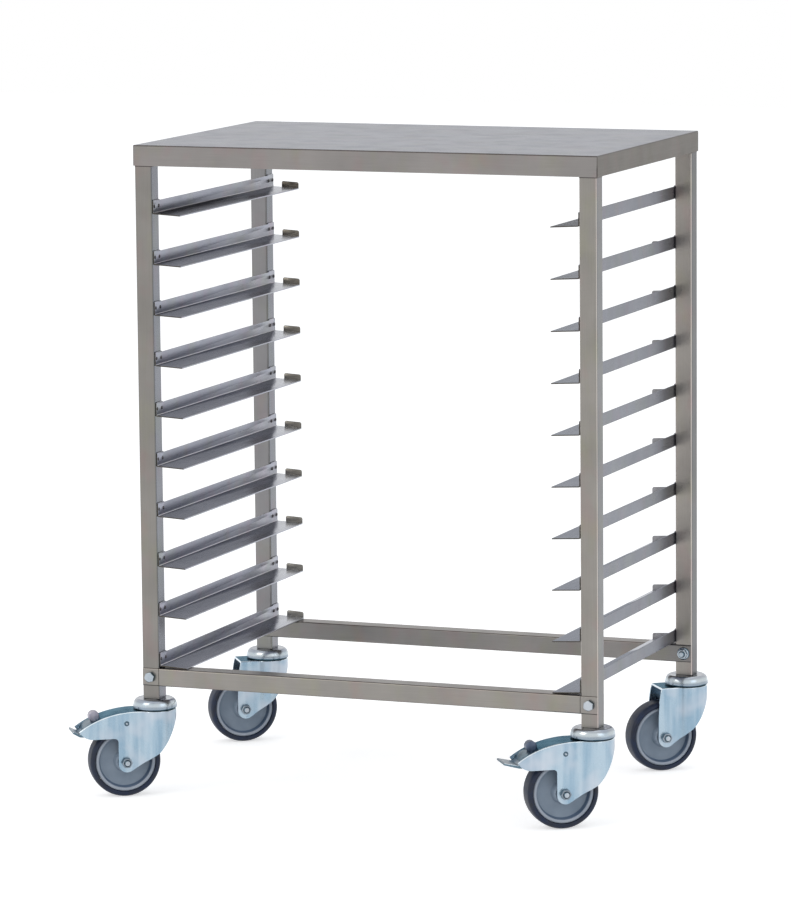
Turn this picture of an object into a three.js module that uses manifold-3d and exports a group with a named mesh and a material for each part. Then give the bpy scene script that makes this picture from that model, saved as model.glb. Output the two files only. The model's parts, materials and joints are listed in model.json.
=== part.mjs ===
// Table trolley: a flat steel worktop on a square-tube frame, with ten pairs of tray runners
// and four swivel casters, the front two with a foot brake.
// Millimetres, +Z up. The origin is on the floor, under the middle of the whole trolley's box.

import * as THREE from 'three';
import { mergeVertices } from 'three/addons/utils/BufferGeometryUtils.js';
import Module from 'manifold-3d';

const wasm = await Module();
wasm.setup();

// Frame
const frameWidth = 670;          // over the outer faces of the legs, left to right
const frameDepth = 430;          // over the outer faces of the legs, front to rear
const overallHeight = 907;       // floor to the face of the worktop
const tubeSize = 25;             // leg tube, outside
const tubeWall = 1.5;
const tubeCornerRadius = 2;
const seatGap = 0.2;             // between faces that rest on each other
const cutOverrun = 2;            // how far a cutting body stands past what it cuts

// Worktop
const topThickness = 1.2;
const skirtHeight = 28.5;
const skirtClearance = 0.3;      // between the skirt and the legs' outer faces
const skirtSlit = 1;             // width of the open seam at each folded corner
const skirtSlitReach = 6;        // its length across the corner

// Cross rails
const legToRail = 18.5;          // from the legs' lower ends to the cross rails
const crossRailHeight = 25;
const crossRailWall = 1.5;
const tabSetback = 1.2;          // the rail's end tab stops this short of the leg's outer face

// Tray runners
const runnerCount = 10;
const railToRunner = 2.5;        // between the cross rails' tops and the lowest runner
const topRunnerDrop = 66.5;      // from the skirt's lower edge to the underside of the top runner
const runnerHeight = 18;
const runnerReach = 41;          // width of the flange that carries the tray
const runnerSheet = 1.5;
const runnerEndInset = 2;        // from the leg's outer face to the runner's end
const stopWidth = 26;
const stopHeight = 10;
const stopCornerRadius = 2.6;

// Screws through the legs
const screwDiameter = 8;
const screwHeadAcrossFlats = 13;
const screwHeadHeight = 5.3;
const nutFlangeDiameter = 18;
const nutFlangeThickness = 1.6;
const nutHeight = 7;
const screwEnd = 2.5;            // thread that stands past the nut
const screwClearance = 0.3;

// Swivel heads
const bowlDiameter = 60;
const bowlHeight = 14;
const bowlCrown = 6;             // rounding of the bowl's shoulder
const bowlCrownShare = 0.3;      // of the crown, where its middle corner lies
const stemLength = 48;           // the part of the stem that is inside the leg
const stemClearance = 0.3;
const kingPinDiameter = 11;
const kingPinHeadDiameter = 20;
const kingPinHeadHeight = 4;
const kingPinHeadEndShare = 0.8; // of its radius, where its rounded end turns flat
const swivelGap = 1;             // between bowl and fork
const runningClearance = 0.3;

// Wheels
const wheelDiameter = 100;
const tyreWidth = 32;
const tyreShoulder = 6;          // radius at the edge of the tread
const rimDiameter = 84;
const rimWidth = 28;
const rimLip = 5;                // thickness of the rim's outer ring
const webThickness = 9;
const hubDiameter = 26;
const hubGap = 1;                // between the hub's ends and the fork's walls
const axleDiameter = 8;
const axleNutHeight = 6.5;
const axleEnd = 2;

// Forks
const forkRoom = 21;             // from the top of the wheel to the top of the fork
const forkWidth = 46;
const forkSheet = 2.5;
const forkHeadRadius = 29.5;
const forkEndRadius = 12;
const forkEndSetback = 0.8;      // centre of the fork's round end, short of the axle
const forkEndDrop = 2;           // and below it
const brakedTrail = 44.8;        // king pin to axle, seen from above
const plainTrail = 38.6;
const plainForkRear = 44.5;      // king pin to the rear edge of a plain fork's top
const beakReach = 110.7;         // king pin to the tip of a braked fork
const beakTipDrop = 25;          // from the fork's top to the tip
const beakDrop = 36.8;           // and to the beak's lower edge
const beakRoot = 36;             // where the beak's back starts to fall
const beakCrown = 85;            // where its two tangents meet
const beakTipRound = 7;          // rounding of its tip
const beakTipReach = 20.5;       // length of that rounding along its lower edge
const notchRadius = 6;
const webGap = 0.7;              // between the end of the beak's closed top and the release knob
const frontKneeRise = 11;        // from the axle to the front wall's lower corner under the king pin
const frontShoulderDrop = 9;     // from the fork's top to where the front wall becomes upright
const frontKneeReach = 17.5;     // where the front wall's two tangents meet
const frontBendRise = 27.5;      // the same place, above the axle

// Foot brakes
const brakePivotReach = 44;
const brakePinDiameter = 6;
const brakePinEnd = 0.8;
const brakeBossRadius = 4.2;
const pedalTyreGap = 0.6;        // between the lever's boss and the tread below it
const brakeBossTurn = 30;        // degrees below level where the lever's underside leaves the boss
const pedalGap = 1.5;            // between the lever's sides and the fork's walls
const pedalSheet = 3;
const pedalDepth = 6;            // depth of the lever between its boss and the knob
const knobReach = 87;
const knobRise = 9.2;            // from the lever's pin to the middle of the knob
const knobRadius = 7.3;
const knobWidth = 12.6;
const knobSeat = 1;              // how far the knob sits in the lever
const shelfLength = 15;          // from the knob to where the lever turns down
const shelfDrop = 5.8;           // from the pin down to there
const lipStart = 5;              // from there to the root of the foot lip
const lipRootDrop = 17.8;        // from the pin down to the lip's root
const lipTipDrop = 10.3;         // and to its tip
const frontLeftLip = 12;         // length of each lip past its root
const frontRightLip = 22;
const lipThickness = 4.5;

// Direction in which each caster trails, in degrees from +X
const frontLeftTurn = 214;
const frontRightTurn = 215;
const rearLeftTurn = 215;
const rearRightTurn = 218;

// Sides of the round shapes
const holeSides = 14;
const flangeSides = 20;
const bowlSides = 28;
const headSides = 36;
const wheelSides = 36;
const curveSegments = 6;         // steps of each curve in a side view
const shoulderSteps = 2;         // steps of the tyre's rounded edge

const degree = Math.PI / 180;
const axisX = new THREE.Vector3(1, 0, 0);
const axisY = new THREE.Vector3(0, 1, 0);
const axisZ = new THREE.Vector3(0, 0, 1);

// Materials
function finish(color, roughness, metalness) {
  return new THREE.MeshStandardMaterial({ color, roughness, metalness, flatShading: true });
}
const worktopFinish = () => finish(0xa8abb4, 0.4, 0.9);
const tubeFinish = () => finish(0x96918a, 0.45, 0.9);
const runnerFinish = () => finish(0x80838e, 0.42, 0.9);
const zincFinish = () => finish(0xafc4d4, 0.3, 0.9);
const tyreFinish = () => finish(0x2e333e, 0.7, 0);
const rimFinish = () => finish(0x78828f, 0.55, 0);
const pedalFinish = () => finish(0x5b626c, 0.5, 0.3);

// Solids and booleans
function solidOf(geometry) {
  const bare = geometry.clone();
  bare.deleteAttribute('normal');
  bare.deleteAttribute('uv');
  const merged = mergeVertices(bare);
  return new wasm.Manifold(new wasm.Mesh({
    numProp: 3,
    vertProperties: new Float32Array(merged.attributes.position.array),
    triVerts: new Uint32Array(merged.index.array),
  }));
}

function geometryOf(solid) {
  const mesh = solid.getMesh();
  const geometry = new THREE.BufferGeometry();
  geometry.setAttribute('position', new THREE.BufferAttribute(mesh.vertProperties, 3));
  geometry.setIndex(new THREE.BufferAttribute(mesh.triVerts, 1));
  const flat = geometry.toNonIndexed();
  flat.computeVertexNormals();
  return flat;
}

// A block between two corners
function block(low, high) {
  const size = high.map((end, i) => end - low[i]);
  const geometry = new THREE.BoxGeometry(...size);
  geometry.translate(...low.map((start, i) => start + size[i] / 2));
  return solidOf(geometry);
}

// An outline extruded along X, Y or Z. Its own x and y stand for the two axes that follow that axis.
function extruded(outline, length, along, steps = curveSegments) {
  const options = { depth: length, bevelEnabled: false, curveSegments: steps };
  const geometry = new THREE.ExtrudeGeometry(outline, options);
  const bases = { x: [axisY, axisZ, axisX], y: [axisZ, axisX, axisY], z: [axisX, axisY, axisZ] };
  geometry.applyMatrix4(new THREE.Matrix4().makeBasis(...bases[along]));
  return geometry;
}

// A side view (reach, height) extruded across the wheel, from -width / 2 to width / 2
function sidewise(outline, width) {
  const geometry = new THREE.ExtrudeGeometry(outline, { depth: width, bevelEnabled: false, curveSegments });
  geometry.applyMatrix4(new THREE.Matrix4().makeBasis(axisX, axisZ, axisY.clone().negate()));
  geometry.translate(0, width / 2, 0);
  return geometry;
}

function rod(radius, length, along, sides = holeSides) {
  return extruded(new THREE.Shape().absarc(0, 0, radius, 0, 2 * Math.PI), length, along, sides / 2);
}

function roundedRectangle(width, height, radius, Kind = THREE.Shape) {
  const x = width / 2;
  const y = height / 2;
  const outline = new Kind();
  outline.moveTo(-x + radius, -y);
  outline.lineTo(x - radius, -y);
  outline.absarc(x - radius, -y + radius, radius, -Math.PI / 2, 0);
  outline.lineTo(x, y - radius);
  outline.absarc(x - radius, y - radius, radius, 0, Math.PI / 2);
  outline.lineTo(-x + radius, y);
  outline.absarc(-x + radius, y - radius, radius, Math.PI / 2, Math.PI);
  outline.lineTo(-x, -y + radius);
  outline.absarc(-x + radius, -y + radius, radius, Math.PI, 1.5 * Math.PI);
  return outline;
}

function hexagon(acrossFlats) {
  const corner = acrossFlats / 2 / Math.cos(Math.PI / 6);
  const outline = new THREE.Shape();
  for (let i = 0; i < 6; i += 1) {
    const angle = (i * Math.PI) / 3;
    outline[i ? 'lineTo' : 'moveTo'](corner * Math.cos(angle), corner * Math.sin(angle));
  }
  outline.closePath();
  return outline;
}

function turned(profile, segments, startAngle = 0) {
  const points = profile.map(([radius, height]) => new THREE.Vector2(radius, height));
  return new THREE.LatheGeometry(points, segments, startAngle);
}

// Places that several pieces share
const legCentreX = (frameWidth - tubeSize) / 2;
const legCentreY = (frameDepth - tubeSize) / 2;
const legInnerX = frameWidth / 2 - tubeSize;
const forkTop = wheelDiameter + forkRoom;
const legBottom = forkTop + swivelGap + bowlHeight;
const crossRailBottom = legBottom + legToRail;
const screwHeight = crossRailBottom + crossRailHeight / 2;
const screwHoleRadius = screwDiameter / 2 + screwClearance;
const axleHeight = wheelDiameter / 2;
const forkInnerWidth = forkWidth - 2 * forkSheet;
const beakTipHeight = forkTop - beakTipDrop;
const beakBottom = forkTop - beakDrop;
const webReach = knobReach - knobRadius - webGap;
const worktopUnderside = overallHeight - topThickness;
const crossRailDepth = tubeSize + 2 * (seatGap + crossRailWall);
const lowestRunner = crossRailBottom + crossRailHeight + railToRunner;
const topRunner = overallHeight - skirtHeight - topRunnerDrop;
const runnerPitch = (topRunner - lowestRunner) / (runnerCount - 1);
const brakePivotHeight = wheelDiameter + pedalTyreGap + brakeBossRadius;

function piece(name, geometry, material) {
  const mesh = new THREE.Mesh(geometry, material);
  mesh.name = name;
  return mesh;
}

// Worktop: a sheet folded down on all four sides, with an open seam at each corner
function makeWorktop() {
  const outerX = frameWidth / 2 + skirtClearance + topThickness;
  const outerY = frameDepth / 2 + skirtClearance + topThickness;
  const innerX = outerX - topThickness;
  const innerY = outerY - topThickness;
  const skirtBottom = overallHeight - skirtHeight;
  let solid = block([-outerX, -outerY, skirtBottom], [outerX, outerY, overallHeight]);
  const hollowBottom = skirtBottom - cutOverrun;
  solid = solid.subtract(block([-innerX, -innerY, hollowBottom], [innerX, innerY, worktopUnderside]));
  const slitHeight = worktopUnderside - hollowBottom;
  for (const sx of [-1, 1]) {
    for (const sy of [-1, 1]) {
      const slit = new THREE.BoxGeometry(skirtSlitReach, skirtSlit, slitHeight);
      slit.rotateZ(sx * sy * Math.PI / 4);
      slit.translate(sx * (outerX + innerX) / 2, sy * (outerY + innerY) / 2, hollowBottom + slitHeight / 2);
      solid = solid.subtract(solidOf(slit));
    }
  }
  return geometryOf(solid);
}

// Leg: a square tube, drilled front to rear for the screw
function makeLeg() {
  const section = roundedRectangle(tubeSize, tubeSize, tubeCornerRadius);
  const boreSize = tubeSize - 2 * tubeWall;
  section.holes.push(roundedRectangle(boreSize, boreSize, tubeCornerRadius - tubeWall, THREE.Path));
  const length = worktopUnderside - seatGap - legBottom;
  const tube = solidOf(extruded(section, length, 'z', 2));
  const drill = rod(screwHoleRadius, tubeSize + 2 * cutOverrun, 'y');
  drill.translate(0, -tubeSize / 2 - cutOverrun, screwHeight - legBottom);
  return geometryOf(tube.subtract(solidOf(drill)));
}

// Cross rail: a tube between two legs whose front and rear walls run on past them as tabs
function makeCrossRail() {
  const section = roundedRectangle(crossRailDepth, crossRailHeight, crossRailWall);
  const boreDepth = crossRailDepth - 2 * crossRailWall;
  const boreHeight = crossRailHeight - 2 * crossRailWall;
  section.holes.push(roundedRectangle(boreDepth, boreHeight, crossRailWall / 2, THREE.Path));
  const endX = frameWidth / 2 - tabSetback;
  const rail = extruded(section, 2 * endX, 'x', 1);
  rail.translate(-endX, 0, 0);
  let solid = solidOf(rail);
  const slotY = tubeSize / 2 + seatGap;
  const slotZ = crossRailHeight / 2 + cutOverrun;
  for (const side of [-1, 1]) {
    const from = side * (legInnerX - seatGap);
    const to = side * (endX + cutOverrun);
    solid = solid.subtract(block(
      [Math.min(from, to), -slotY, -slotZ],
      [Math.max(from, to), slotY, slotZ],
    ));
    const drill = rod(screwHoleRadius, crossRailDepth + 2 * cutOverrun, 'y');
    drill.translate(side * legCentreX, -crossRailDepth / 2 - cutOverrun, 0);
    solid = solid.subtract(solidOf(drill));
  }
  return geometryOf(solid);
}

// Runner: an angle with an upturned stop at its rear end, for the right-hand side
function makeRunner() {
  const length = frameDepth - 2 * runnerEndInset;
  const upright = block([-runnerSheet, 0, 0], [0, length, runnerHeight]);
  const flange = block([-runnerReach, 0, 0], [0, length, runnerSheet]);
  const bend = stopHeight - stopCornerRadius;
  const stopOutline = new THREE.Shape();
  stopOutline.moveTo(0, 0);
  stopOutline.lineTo(bend, 0);
  stopOutline.absarc(bend, stopCornerRadius, stopCornerRadius, -Math.PI / 2, 0);
  stopOutline.lineTo(stopHeight, stopWidth - stopCornerRadius);
  stopOutline.absarc(bend, stopWidth - stopCornerRadius, stopCornerRadius, 0, Math.PI / 2);
  stopOutline.lineTo(0, stopWidth);
  const stop = extruded(stopOutline, runnerSheet, 'y', 2);
  stop.translate(-runnerReach, length - runnerSheet, 0);
  return geometryOf(upright.add(flange).add(solidOf(stop)));
}

// The left-hand runner is the right-hand one mirrored, with its triangles turned to face out again
function mirroredRunner() {
  const geometry = makeRunner();
  geometry.scale(-1, 1, 1);
  const position = geometry.attributes.position;
  const corner = new THREE.Vector3();
  const other = new THREE.Vector3();
  for (let i = 0; i < position.count; i += 3) {
    corner.fromBufferAttribute(position, i);
    other.fromBufferAttribute(position, i + 1);
    position.setXYZ(i, other.x, other.y, other.z);
    position.setXYZ(i + 1, corner.x, corner.y, corner.z);
  }
  geometry.computeVertexNormals();
  return geometry;
}

// Screw: hexagon head in front, thread end at the rear
function makeScrew() {
  const nutSeat = crossRailDepth + nutHeight + seatGap + screwClearance;
  const shankLength = nutSeat + screwEnd;
  const head = extruded(hexagon(screwHeadAcrossFlats), screwHeadHeight, 'y');
  head.translate(0, -crossRailDepth / 2 - seatGap - screwHeadHeight, 0);
  const shank = rod(screwDiameter / 2, shankLength + seatGap + screwHeadHeight / 2, 'y');
  shank.translate(0, -crossRailDepth / 2 - seatGap - screwHeadHeight / 2, 0);
  return geometryOf(solidOf(head).add(solidOf(shank)));
}

// Nut: a hexagon on a round flange, threaded on the screw's rear end
function makeNut() {
  const flange = rod(nutFlangeDiameter / 2, nutFlangeThickness, 'y', flangeSides);
  const hexagonPart = extruded(hexagon(screwHeadAcrossFlats), nutHeight, 'y');
  const bore = rod(screwHoleRadius, nutHeight + 2 * cutOverrun, 'y');
  bore.translate(0, -cutOverrun, 0);
  return geometryOf(solidOf(flange).add(solidOf(hexagonPart)).subtract(solidOf(bore)));
}

// Swivel head: stem in the leg, bowl under it, king pin through the fork and its riveted head
function makeSwivelHead() {
  const bowlBottom = legBottom - bowlHeight;
  const bowlTop = legBottom - seatGap;
  const stemRadius = tubeSize / 2 - tubeWall - stemClearance;
  const bowlRadius = bowlDiameter / 2;
  const pinRadius = kingPinDiameter / 2;
  const headTop = forkTop - forkSheet - runningClearance;
  const headRadius = kingPinHeadDiameter / 2;
  const shoulder = bowlCrown * bowlCrownShare;
  const profile = [
    [0, headTop - kingPinHeadHeight],
    [headRadius * kingPinHeadEndShare, headTop - kingPinHeadHeight],
    [headRadius, headTop - kingPinHeadHeight / 2],
    [headRadius, headTop],
    [pinRadius, headTop],
    [pinRadius, bowlBottom],
    [bowlRadius, bowlBottom],
    [bowlRadius, bowlTop - bowlCrown],
    [bowlRadius - shoulder, bowlTop - shoulder],
    [bowlRadius - bowlCrown, bowlTop],
    [stemRadius, bowlTop],
    [stemRadius, legBottom + stemLength],
    [0, legBottom + stemLength],
  ];
  const body = turned(profile, bowlSides);
  body.rotateX(Math.PI / 2);
  const drill = rod(screwHoleRadius, 2 * stemRadius + 2 * cutOverrun, 'y');
  drill.translate(0, -stemRadius - cutOverrun, screwHeight);
  return geometryOf(solidOf(body).subtract(solidOf(drill)));
}

// The front wall and the round end about the axle are the same on both kinds of fork.
// The lower edge leaves the round end as its tangent and meets the front wall under the king pin.
function closeForkOutline(outline, trail) {
  const endX = trail - forkEndSetback;
  const endZ = axleHeight - forkEndDrop;
  const knee = axleHeight + frontKneeRise;
  const shoulder = forkTop - frontShoulderDrop;
  const rise = knee - endZ;
  const away = Math.atan2(rise, -endX);
  const turn = 2 * Math.PI - away - Math.acos(forkEndRadius / Math.hypot(endX, rise));
  outline.lineTo(endX + forkEndRadius, endZ);
  outline.absarc(endX, endZ, forkEndRadius, 0, -turn, true);
  outline.lineTo(0, knee);
  outline.quadraticCurveTo(-frontKneeReach, axleHeight + frontBendRise, -forkHeadRadius, shoulder);
  outline.lineTo(-forkHeadRadius - cutOverrun, shoulder);
  outline.lineTo(-forkHeadRadius - cutOverrun, forkTop);
}

// Side view of a braked fork: leg and front wall, and a beak over the wheel
function brakedForkOutline() {
  const outline = new THREE.Shape();
  outline.moveTo(-forkHeadRadius - cutOverrun, forkTop);
  outline.lineTo(beakRoot, forkTop);
  outline.quadraticCurveTo(beakCrown, forkTop, beakReach, beakTipHeight);
  outline.quadraticCurveTo(beakReach - beakTipRound, beakBottom, beakReach - beakTipReach, beakBottom);
  const notch = brakedTrail - forkEndSetback + forkEndRadius;
  outline.lineTo(notch + notchRadius, beakBottom);
  outline.quadraticCurveTo(notch, beakBottom, notch, beakBottom - notchRadius);
  closeForkOutline(outline, brakedTrail);
  return outline;
}

// Side view of a plain fork
function plainForkOutline() {
  const outline = new THREE.Shape();
  outline.moveTo(-forkHeadRadius - cutOverrun, forkTop);
  outline.lineTo(plainForkRear, forkTop);
  const belly = plainTrail - forkEndSetback + forkEndRadius;
  outline.quadraticCurveTo(belly, forkTop - forkWidth / 2, belly, axleHeight + forkWidth / 2);
  closeForkOutline(outline, plainTrail);
  return outline;
}

// The hollow between a fork's walls, as a side view: the fork's own back, one sheet lower
function forkHollowOutline(braked) {
  const roof = forkTop - forkSheet;
  const far = beakReach + cutOverrun;
  const outline = new THREE.Shape();
  outline.moveTo(-forkHeadRadius, -cutOverrun);
  outline.lineTo(far, -cutOverrun);
  if (braked) {
    outline.lineTo(far, beakTipHeight - forkSheet);
    outline.lineTo(beakReach, beakTipHeight - forkSheet);
    outline.quadraticCurveTo(beakCrown, roof, beakRoot, roof);
  } else {
    outline.lineTo(far, roof);
  }
  outline.lineTo(-forkHeadRadius, roof);
  return outline;
}

// Plan of a fork: a round head about the king pin and two parallel sides
function forkPlan(headRadius, width, length) {
  const head = solidOf(rod(headRadius, forkTop + 2 * cutOverrun, 'z', headSides));
  const sides = block([0, -width / 2, 0], [length, width / 2, forkTop + 2 * cutOverrun]);
  return head.add(sides);
}

// Fork: sheet steel pressed to a closed front, with a top for the king pin and a hole for the axle
function makeFork(braked) {
  const trail = braked ? brakedTrail : plainTrail;
  const far = beakReach + cutOverrun;
  const span = 2 * forkHeadRadius + 2 * cutOverrun;
  const outline = braked ? brakedForkOutline() : plainForkOutline();
  let solid = solidOf(sidewise(outline, span)).intersect(forkPlan(forkHeadRadius, forkWidth, far));
  const hollow = forkPlan(forkHeadRadius - forkSheet, forkInnerWidth, far + cutOverrun)
    .intersect(solidOf(sidewise(forkHollowOutline(braked), span)));
  solid = solid.subtract(hollow);
  if (braked) {
    const halfSlot = forkInnerWidth / 2;
    solid = solid.subtract(block([webReach, -halfSlot, beakBottom], [far, halfSlot, forkTop + cutOverrun]));
    const pinHole = rod(brakePinDiameter / 2 + runningClearance, forkWidth + 2 * cutOverrun, 'y');
    pinHole.translate(brakePivotReach, -forkWidth / 2 - cutOverrun, brakePivotHeight);
    solid = solid.subtract(solidOf(pinHole));
  }
  const kingHole = rod(kingPinDiameter / 2 + runningClearance, forkSheet + 2 * cutOverrun, 'z');
  kingHole.translate(0, 0, forkTop - forkSheet - cutOverrun);
  const axleHole = rod(axleDiameter / 2 + runningClearance, forkWidth + 2 * cutOverrun, 'y');
  axleHole.translate(trail, -forkWidth / 2 - cutOverrun, axleHeight);
  return geometryOf(solid.subtract(solidOf(kingHole)).subtract(solidOf(axleHole)));
}

// Wheel pieces turn about Y. Their flats lie level, so that the tyre stands on one of them.
function makeWheelTurning(profile) {
  return turned(profile, wheelSides, Math.PI / wheelSides);
}

function makeTyre() {
  const flatRadius = axleHeight / Math.cos(Math.PI / wheelSides);
  const seatRadius = rimDiameter / 2 + runningClearance;
  const half = tyreWidth / 2;
  const profile = [[seatRadius, -rimWidth / 2], [seatRadius + seatGap, -half]];
  for (const side of [-1, 1]) {
    for (let i = 0; i <= shoulderSteps; i += 1) {
      const turn = (i / shoulderSteps) * (Math.PI / 2);
      const angle = side < 0 ? turn : Math.PI / 2 - turn;
      profile.push([
        flatRadius - tyreShoulder * (1 - Math.sin(angle)),
        side * (half - tyreShoulder * (1 - Math.cos(angle))),
      ]);
    }
  }
  profile.push([seatRadius + seatGap, half], [seatRadius, rimWidth / 2], [seatRadius, -rimWidth / 2]);
  return makeWheelTurning(profile);
}

function makeRim() {
  const bore = axleDiameter / 2 + runningClearance;
  const hub = hubDiameter / 2;
  const end = forkInnerWidth / 2 - hubGap;
  const outer = rimDiameter / 2;
  const lip = outer - rimLip;
  const profile = [
    [bore, -end], [hub, -end], [hub, -webThickness / 2], [lip, -webThickness / 2],
    [lip, -rimWidth / 2], [outer, -rimWidth / 2], [outer, rimWidth / 2], [lip, rimWidth / 2],
    [lip, webThickness / 2], [hub, webThickness / 2], [hub, end], [bore, end],
    [bore, -end],
  ];
  return makeWheelTurning(profile);
}

// Axle: a screw through fork and hub with its nut, as they are when tightened
function makeAxle() {
  const side = forkWidth / 2 + runningClearance;
  const headEnd = side + screwHeadHeight;
  const nutEnd = side + axleNutHeight;
  const head = extruded(hexagon(screwHeadAcrossFlats), screwHeadHeight, 'y');
  head.translate(0, -headEnd, 0);
  const nut = extruded(hexagon(screwHeadAcrossFlats), axleNutHeight, 'y');
  nut.translate(0, side, 0);
  const shank = rod(axleDiameter / 2, side + screwHeadHeight / 2 + nutEnd + axleEnd, 'y');
  shank.translate(0, -side - screwHeadHeight / 2, 0);
  return geometryOf(solidOf(head).add(solidOf(nut)).add(solidOf(shank)));
}

function makeBrakePin() {
  const length = forkWidth + 2 * brakePinEnd;
  const pin = rod(brakePinDiameter / 2, length, 'y');
  pin.translate(0, -length / 2, 0);
  return pin;
}

// Brake pedal: a pressed lever about its pin, with a round release knob and a foot lip.
// Its underside clears the tyre until the shoe would touch.
function makePedal(lipLength) {
  const width = forkInnerWidth - 2 * pedalGap;
  const knobX = knobReach - brakePivotReach;
  const shelfX = knobX + shelfLength;
  const rootX = shelfX + lipStart;
  const tipX = rootX + lipLength;
  const armTop = knobRise - knobRadius + knobSeat;
  const arm = new THREE.Shape();
  arm.absarc(0, 0, brakeBossRadius, -brakeBossTurn * degree, Math.PI / 2, true);
  arm.lineTo(knobX, armTop);
  arm.lineTo(shelfX, -shelfDrop);
  arm.lineTo(rootX, lipThickness - lipRootDrop);
  arm.lineTo(tipX, pedalSheet / 2 - lipTipDrop);
  arm.lineTo(tipX, -pedalSheet / 2 - lipTipDrop);
  arm.lineTo(rootX, -lipRootDrop);
  arm.lineTo(shelfX - lipThickness, pedalSheet / 2 - lipRootDrop);
  arm.lineTo(knobX - knobRadius, armTop - pedalDepth);
  arm.closePath();
  const knob = rod(knobRadius, knobWidth, 'y', flangeSides);
  knob.translate(knobX, -knobWidth / 2, knobRise);
  const drill = rod(brakePinDiameter / 2 + runningClearance, width + 2 * cutOverrun, 'y');
  drill.translate(0, -width / 2 - cutOverrun, 0);
  return geometryOf(solidOf(sidewise(arm, width)).add(solidOf(knob)).subtract(solidOf(drill)));
}

// Assembly
const trolley = new THREE.Group();
trolley.add(piece('worktop', makeWorktop(), worktopFinish()));

function addCrossRails() {
  for (const [name, side] of [['front', -1], ['rear', 1]]) {
    const rail = piece(`cross_rail_${name}`, makeCrossRail(), tubeFinish());
    rail.position.set(0, side * legCentreY, screwHeight);
    trolley.add(rail);
  }
}

function addRunners() {
  for (const [name, side] of [['left', -1], ['right', 1]]) {
    for (let i = 0; i < runnerCount; i += 1) {
      const level = String(i + 1).padStart(2, '0');
      const geometry = side > 0 ? makeRunner() : mirroredRunner();
      const runner = piece(`runner_${name}_${level}`, geometry, runnerFinish());
      runner.position.set(
        side * (legInnerX - seatGap),
        -frameDepth / 2 + runnerEndInset,
        lowestRunner + i * runnerPitch,
      );
      trolley.add(runner);
    }
  }
}

function addCorner({ name, sideX, sideY }) {
  const x = sideX * legCentreX;
  const y = sideY * legCentreY;
  const leg = piece(`leg_${name}`, makeLeg(), tubeFinish());
  leg.position.set(x, y, legBottom);
  const head = piece(`swivel_head_${name}`, makeSwivelHead(), zincFinish());
  head.position.set(x, y, 0);
  trolley.add(leg, head);

  // The screw's head faces away from the trolley, so the rear screws are turned about
  const fastening = new THREE.Group();
  fastening.position.set(x, y, screwHeight);
  fastening.rotation.z = sideY > 0 ? Math.PI : 0;
  const nut = piece(`cross_nut_${name}`, makeNut(), zincFinish());
  nut.position.y = crossRailDepth / 2 + seatGap;
  fastening.add(piece(`cross_screw_${name}`, makeScrew(), zincFinish()), nut);
  trolley.add(fastening);
}

// Caster: its own X points from the king pin to the axle, its Y along the axle
function addCaster({ name, sideX, sideY, turn, lipLength }) {
  const braked = sideY < 0;
  const trail = braked ? brakedTrail : plainTrail;
  const caster = new THREE.Group();
  caster.position.set(sideX * legCentreX, sideY * legCentreY, 0);
  caster.rotation.z = turn * degree;
  caster.add(piece(`caster_fork_${name}`, makeFork(braked), zincFinish()));

  const wheel = new THREE.Group();
  wheel.position.set(trail, 0, axleHeight);
  wheel.add(piece(`wheel_rim_${name}`, makeRim(), rimFinish()));
  wheel.add(piece(`wheel_tyre_${name}`, makeTyre(), tyreFinish()));
  wheel.add(piece(`axle_screw_${name}`, makeAxle(), zincFinish()));
  caster.add(wheel);

  if (braked) {
    const brake = new THREE.Group();
    brake.position.set(brakePivotReach, 0, brakePivotHeight);
    brake.add(piece(`brake_pedal_${name}`, makePedal(lipLength), pedalFinish()));
    brake.add(piece(`brake_pin_${name}`, makeBrakePin(), zincFinish()));
    caster.add(brake);
  }
  trolley.add(caster);
}

addCrossRails();
addRunners();
for (const corner of [
  { name: 'front_left', sideX: -1, sideY: -1, turn: frontLeftTurn, lipLength: frontLeftLip },
  { name: 'front_right', sideX: 1, sideY: -1, turn: frontRightTurn, lipLength: frontRightLip },
  { name: 'rear_left', sideX: -1, sideY: 1, turn: rearLeftTurn },
  { name: 'rear_right', sideX: 1, sideY: 1, turn: rearRightTurn },
]) {
  addCorner(corner);
  addCaster(corner);
}

// The casters trail to one side, so the origin goes under the middle of the whole box
const bounds = new THREE.Box3().setFromObject(trolley, true);
const middle = bounds.getCenter(new THREE.Vector3());
trolley.position.set(-middle.x, -middle.y, -bounds.min.z);
trolley.updateMatrixWorld(true);

export default trolley;
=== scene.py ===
import json
import math
from contextlib import contextmanager

import bmesh
import bpy
from mathutils import Matrix, Vector


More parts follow.
